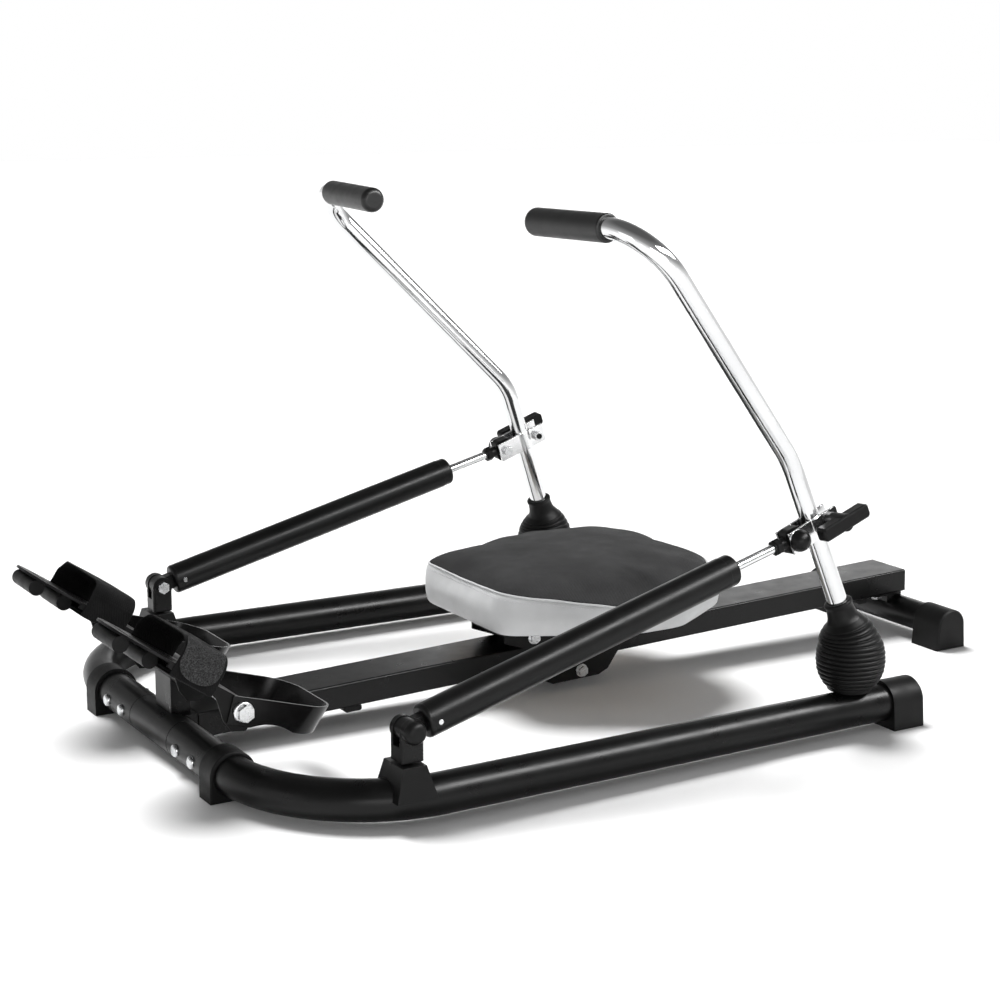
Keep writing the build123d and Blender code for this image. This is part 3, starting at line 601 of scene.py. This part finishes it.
# ---------------------------------------------------------------- rubber boots
PIVOT = (809.6, 362.0, 128.0)
ARM_LEAN = Vector((-0.3510, -0.0882, 0.9322))
BULB_AXIS = (811.0, 366.0)
POST_RADIUS = 17.5
BULB_FOOT, BULB_TOP = 55.5, 118.0     # heights in mm
BULB = [  # radius of the bulb at each height, in mm
    (BULB_FOOT, 25.0), (57.0, 28.0), (60.0, 29.0), (66.0, 34.0), (74.0, 38.8),
    (84.0, 42.2), (96.0, 43.4), (108.0, 42.6), (BULB_TOP, 40.2),
]
RIBS = (62.0, 143.0)
RIB_PITCH = 6.0
SHOULDER_RISE = 31.0
SHOULDER = [  # radius against the way from the bulb's last upright ring to the neck
    (0.0, 40.2), (0.2, 38.6), (0.4, 36.0), (0.6, 32.6), (0.8, 28.0), (1.0, 22.4),
]
NECK = [  # radius of the neck at each distance along the arm from the pivot, in mm
    (22, 22.4), (25, 20.4), (29, 19.0), (34, 18.0), (39, 17.4), (43, 17.3),
    (44.2, 18.2), (46.8, 18.2), (48.2, 17.0), (48.6, 15.0), (48.2, 13.0),
]


def ring_at(middle, tilt, radius, segments=72):
    """Circle of points round a middle, radius in mm, turned by a matrix."""
    angles = [2 * math.pi * k / segments for k in range(segments)]
    return [middle + tilt @ Vector((radius * MM * math.cos(a), radius * MM * math.sin(a), 0)) for a in angles]


def between(table, at):
    """Value of a table of (position, value) pairs, between its entries."""
    for (low, v0), (high, v1) in zip(table, table[1:]):
        if at <= high:
            break
    return v0 + (v1 - v0) * (at - low) / (high - low)


def groove(height):
    """Narrow grooves between wide round ribs."""
    if not RIBS[0] < height < RIBS[1]:
        return 0.0
    phase = (height - RIBS[0]) / RIB_PITCH
    off_groove = abs(phase - round(phase)) / 0.5
    return 0.9 * math.sin(math.pi * off_groove / 2) - 2.3 * math.exp(-(off_groove / 0.3) ** 2)


def boots():
    """A ribbed bulb that bends from the frame to the yoke, and a smooth neck that goes on to the arm."""
    for name, sign in SIDES:
        axis = Vector((ARM_LEAN.x, sign * ARM_LEAN.y, ARM_LEAN.z)).normalized()
        lean = Vector((0, 0, 1)).rotation_difference(axis)
        pivot = place(PIVOT[0], sign * PIVOT[1], PIVOT[2])
        foot = place(BULB_AXIS[0], sign * BULB_AXIS[1], 0)
        upright = Matrix.Identity(3)
        rings = [ring_at(Vector((foot.x, foot.y, BULB_FOOT * MM)), upright, POST_RADIUS)]
        height = BULB_FOOT
        while height < BULB_TOP:
            middle = Vector((foot.x, foot.y, height * MM))
            rings.append(ring_at(middle, upright, between(BULB, height) + groove(height)))
            height += RIB_PITCH / 8
        top = Vector((foot.x, foot.y, BULB_TOP * MM))
        collar = pivot + axis * (NECK[0][0] * MM)
        steps = 40
        for i in range(steps + 1):
            t = i / steps
            tilt = Quaternion().slerp(lean, t).to_matrix()
            radius = between(SHOULDER, t) + groove(BULB_TOP + SHOULDER_RISE * t)
            rings.append(ring_at(top.lerp(collar, t), tilt, radius))
        bulb = new_object(f"boot_bulb_{name}", *rings_to_mesh(rings, True, False), [boot_rubber])
        fix_normals(bulb)
        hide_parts(f"boot_{name}")
        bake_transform(bulb)

        rings = [ring_at(pivot + axis * (along * MM), lean.to_matrix(), radius) for along, radius in NECK]
        neck = new_object(f"boot_neck_{name}", *rings_to_mesh(rings, False, False), [boot_rubber])
        fix_normals(neck)
        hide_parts(f"boot_{name}")
        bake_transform(neck)


boots()


# ---------------------------------------------------------------- foot straps
PEDAL_PIVOT = (39.0, 109.0)
PEDAL_TILT = math.radians(34.5)
PEDAL_Y = 144.5


def on_plate(d, y, n):
    """Point from foot plate coordinates: d towards the heel, n square to the plate."""
    x = PEDAL_PIVOT[0] + d * math.cos(PEDAL_TILT) + n * math.sin(PEDAL_TILT)
    z = PEDAL_PIVOT[1] - d * math.sin(PEDAL_TILT) + n * math.cos(PEDAL_TILT)
    return place(x, y, z)


def rounded_loop(half, bottom, top, low_r, high_r, steps=7):
    """Closed section of the strap across the plate, as (y, n)."""
    points = []
    corners = [
        (half - high_r, top - high_r, high_r, 0), (-half + high_r, top - high_r, high_r, 90),
        (-half + low_r, bottom + low_r, low_r, 180), (half - low_r, bottom + low_r, low_r, 270),
    ]
    for cy, cn, r, start in corners:
        for k in range(steps + 1):
            a = math.radians(start + 90 * k / steps)
            points.append((cy + r * math.cos(a), cn + r * math.sin(a)))
    return points


STRAP_FRONT, STRAP_REAR = -105.0, -43.0
STRAP_HALF = 69.2
STRAP_BOTTOM, STRAP_TOP = -2.3, 45.8
STRAP_STEPS = (-94.0, -80.0, -66.0, -54.0)
TAB_MIDDLE, TAB_HALF_WIDTH, TAB_TOP = -75.5, 27.5, 47.2
TAB_BEND_START, TAB_BEND_RADIUS = 23.0, 24.0
TAB_BEND = math.radians(62)


def straps():
    """Closed band of webbing round each foot plate, with its loop-pile tab."""
    for name, sign in SIDES:
        outer = rounded_loop(STRAP_HALF, STRAP_BOTTOM - 1.2, STRAP_TOP + 1.2, 4.0, 24.0)
        inner = rounded_loop(STRAP_HALF - 2.3, STRAP_BOTTOM + 1.1, STRAP_TOP - 1.1, 2.0, 21.5)
        edge = [((a[0] + b[0]) / 2, (a[1] + b[1]) / 2) for a, b in zip(outer, inner)]
        across = [(edge, STRAP_FRONT)]
        across += [(outer, d) for d in (STRAP_FRONT + 1, *STRAP_STEPS, STRAP_REAR - 1)]
        across += [(edge, STRAP_REAR)]
        across += [(inner, d) for d in (STRAP_REAR - 1, *reversed(STRAP_STEPS), STRAP_FRONT + 1)]
        rings = []
        for loop, d in across + across[:1]:
            rings.append([strap_point(d, sign, y, n) for y, n in loop])
        verts, faces = rings_to_mesh(rings, False, False)
        band = new_object(f"strap_band_{name}", verts, faces, [strap_web])
        weld(band)
        fix_normals(band)
        subdivide(band)
        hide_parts(f"foot_strap_{name}")
        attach(band, f"foot_{name}")
        tab = strap_tab(name, sign, STRAP_HALF)


def strap_point(d, sign, y, n):
    """Point of the strap: its arch is worn, so its front edge waves and sags a little above the plate."""
    if n > 16.0:
        worn = min((n - 16.0) / 20.0, 1.0)
        front = max(0.0, (-d - 70.0) / 35.0)
        wave = noise.noise(Vector((y * 0.045, n * 0.05, 2.0 + sign)))
        d += 6.0 * front * worn * wave
        n -= 2.4 * worn * front * (0.5 + noise.noise(Vector((y * 0.06, 1.0, sign))))
    return on_plate(d, sign * (PEDAL_Y + y), n)


def weld(obj):
    """Merges the points that lie on each other where the band's section closes."""
    bm = bmesh.new()
    bm.from_mesh(obj.data)
    bmesh.ops.remove_doubles(bm, verts=bm.verts, dist=1e-6)
    bm.to_mesh(obj.data)
    bm.free()


def strap_tab(name, sign, half):
    """Fuzzy loop-pile end of the strap, lying on its outer wall with a rounded end."""
    columns, rows = 14, 14
    layers = []
    for lift in (0.15, 2.4):
        grid = []
        for i in range(columns + 1):
            t = i / columns * 2 - 1
            d = TAB_MIDDLE + TAB_HALF_WIDTH * t
            low_n = 2.0 + 22.0 * (1 - math.sqrt(max(0.0, 1 - abs(t) ** 2.6 * 0.92)))
            for j in range(rows + 1):
                s = j / rows
                n = low_n + (TAB_TOP - low_n) * s
                reach = half + 0.2
                over = n - TAB_BEND_START
                if over > 0:
                    a = min(over / TAB_BEND_RADIUS, 1.0) * TAB_BEND
                    y = reach - TAB_BEND_RADIUS + TAB_BEND_RADIUS * math.cos(a)
                    n = TAB_BEND_START + TAB_BEND_RADIUS * math.sin(a)
                    outward = Vector((math.cos(a), math.sin(a)))
                else:
                    y = reach
                    outward = Vector((1, 0))
                ripple = 0.25 * noise.noise(Vector((d * 0.08, n * 0.1, 5.0)))
                push = lift + (ripple if lift > 1 else 0)
                grid.append(on_plate(d, sign * (PEDAL_Y + y + outward.x * push), n + outward.y * push))
        layers.append(grid)
    verts = layers[0] + layers[1]
    size = (columns + 1) * (rows + 1)
    faces = []
    for layer in (0, size):
        for i in range(columns):
            for j in range(rows):
                a = layer + i * (rows + 1) + j
                faces.append((a, a + 1, a + rows + 2, a + rows + 1))
    rim = [i * (rows + 1) for i in range(columns + 1)]
    rim += [columns * (rows + 1) + j for j in range(1, rows + 1)]
    rim += [i * (rows + 1) + rows for i in range(columns - 1, -1, -1)]
    rim += [j for j in range(rows - 1, 0, -1)]
    for k, a in enumerate(rim):
        b = rim[(k + 1) % len(rim)]
        faces.append((a, b, b + size, a + size))
    tab = new_object(f"strap_tab_{name}", verts, faces, [velcro])
    fix_normals(tab)
    subdivide(tab)
    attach(tab, f"foot_{name}")
    return tab


straps()


# ---------------------------------------------------------------- floor, light and camera
def floor():
    half = 14.0
    corners = [(-half, -half, 0), (half, -half, 0), (half, half, 0), (-half, half, 0)]
    obj = new_object("floor", corners, [(0, 1, 2, 3)], [], False)
    look = Look("floor_white", 0.85, Specular_IOR_Level=0.1)
    look.colour(look.noise(0.6, 2.0), [(0.3, 0.88), (0.7, 0.9)])
    obj.data.materials.append(look.mat)


def area_light(name, location, target, size, power):
    """Rectangular light that faces a target."""
    data = bpy.data.lights.new(name, "AREA")
    data.shape = "RECTANGLE"
    data.size, data.size_y = size
    data.energy = power
    obj = bpy.data.objects.new(name, data)
    obj.location = location
    obj.rotation_euler = (Vector(target) - Vector(location)).to_track_quat("-Z", "Y").to_euler()
    bpy.context.scene.collection.objects.link(obj)
    return obj


def sun(name, toward, strength, spread):
    """Distant light shining along a direction, with a spread in degrees."""
    data = bpy.data.lights.new(name, "SUN")
    data.energy = strength
    data.angle = math.radians(spread)
    obj = bpy.data.objects.new(name, data)
    obj.rotation_euler = Vector(toward).to_track_quat("-Z", "Y").to_euler()
    bpy.context.scene.collection.objects.link(obj)
    return obj


def sky():
    """White seen directly, dim for diffuse light, and bright only near the horizon in reflections."""
    world = bpy.data.worlds.new("studio")
    world.use_nodes = True
    tree = world.node_tree
    background = tree.nodes["Background"]
    path = tree.nodes.new("ShaderNodeLightPath")
    split = tree.nodes.new("ShaderNodeSeparateXYZ")
    tree.links.new(tree.nodes.new("ShaderNodeTexCoord").outputs["Generated"], split.inputs[0])
    ramp = tree.nodes.new("ShaderNodeValToRGB")
    elements = ramp.color_ramp.elements
    elements.new(0.45)
    for element, (position, value) in zip(elements, ((0.02, 0.95), (0.30, 0.42), (0.85, 0.12))):
        element.position = position
        element.color = (value, value, value, 1.0)
    tree.links.new(split.outputs["Z"], ramp.inputs["Fac"])
    source = ramp.outputs["Color"]
    for ray, value in (("Is Diffuse Ray", 0.3), ("Is Camera Ray", 1.0)):
        mix = tree.nodes.new("ShaderNodeMix")
        mix.data_type = "RGBA"
        mix.inputs["B"].default_value = (value, value, value, 1)
        tree.links.new(source, mix.inputs["A"])
        tree.links.new(path.outputs[ray], mix.inputs["Factor"])
        source = mix.outputs["Result"]
    tree.links.new(source, background.inputs["Color"])
    bpy.context.scene.world = world
    bpy.context.scene.view_settings.view_transform = "Standard"


def studio():
    """Soft key from above, low fills, and two lights that only show as reflections."""
    floor()
    sky()
    key = sun("key", (0.10, -0.46, -1.0), 4.2, 30.0)
    key.visible_glossy = False
    area_light("left_fill", (-1.1, -3.6, 0.7), (0, 0, 0.15), (2.6, 0.9), 31)
    area_light("front_fill", (-3.4, -0.4, 0.8), (0, 0, 0.15), (1.6, 0.9), 4)
    streak = area_light("streak", (1.5, -2.0, 2.3), (0.1, -0.1, 0.2), (3.4, 0.7), 185)
    glow = area_light("rear_glow", (2.6, 2.9, 1.0), (0.4, 0.0, 0.1), (2.4, 1.0), 10)
    glow.visible_camera = False
    for light in (streak, glow):
        light.visible_diffuse = False


def camera():
    """Camera at the height and distance of a person crouching off the left front corner."""
    data = bpy.data.cameras.new("camera")
    data.lens = 74.11
    data.sensor_width = 36.0
    obj = bpy.data.objects.new("camera", data)
    turn, pitch, roll = math.radians(-30.912), math.radians(12.148), math.radians(0.263)
    ahead = Vector((-math.sin(turn) * math.cos(pitch), math.cos(turn) * math.cos(pitch), -math.sin(pitch)))
    right = ahead.cross(Vector((0, 0, 1))).normalized()
    up = right.cross(ahead)
    right, up = right * math.cos(roll) + up * math.sin(roll), up * math.cos(roll) - right * math.sin(roll)
    basis = Matrix((right, up, -ahead)).transposed().to_4x4()
    basis.translation = place(-866.6, -2297.7, 843.2)
    obj.matrix_world = basis
    bpy.context.scene.collection.objects.link(obj)
    bpy.context.scene.camera = obj


studio()
camera()
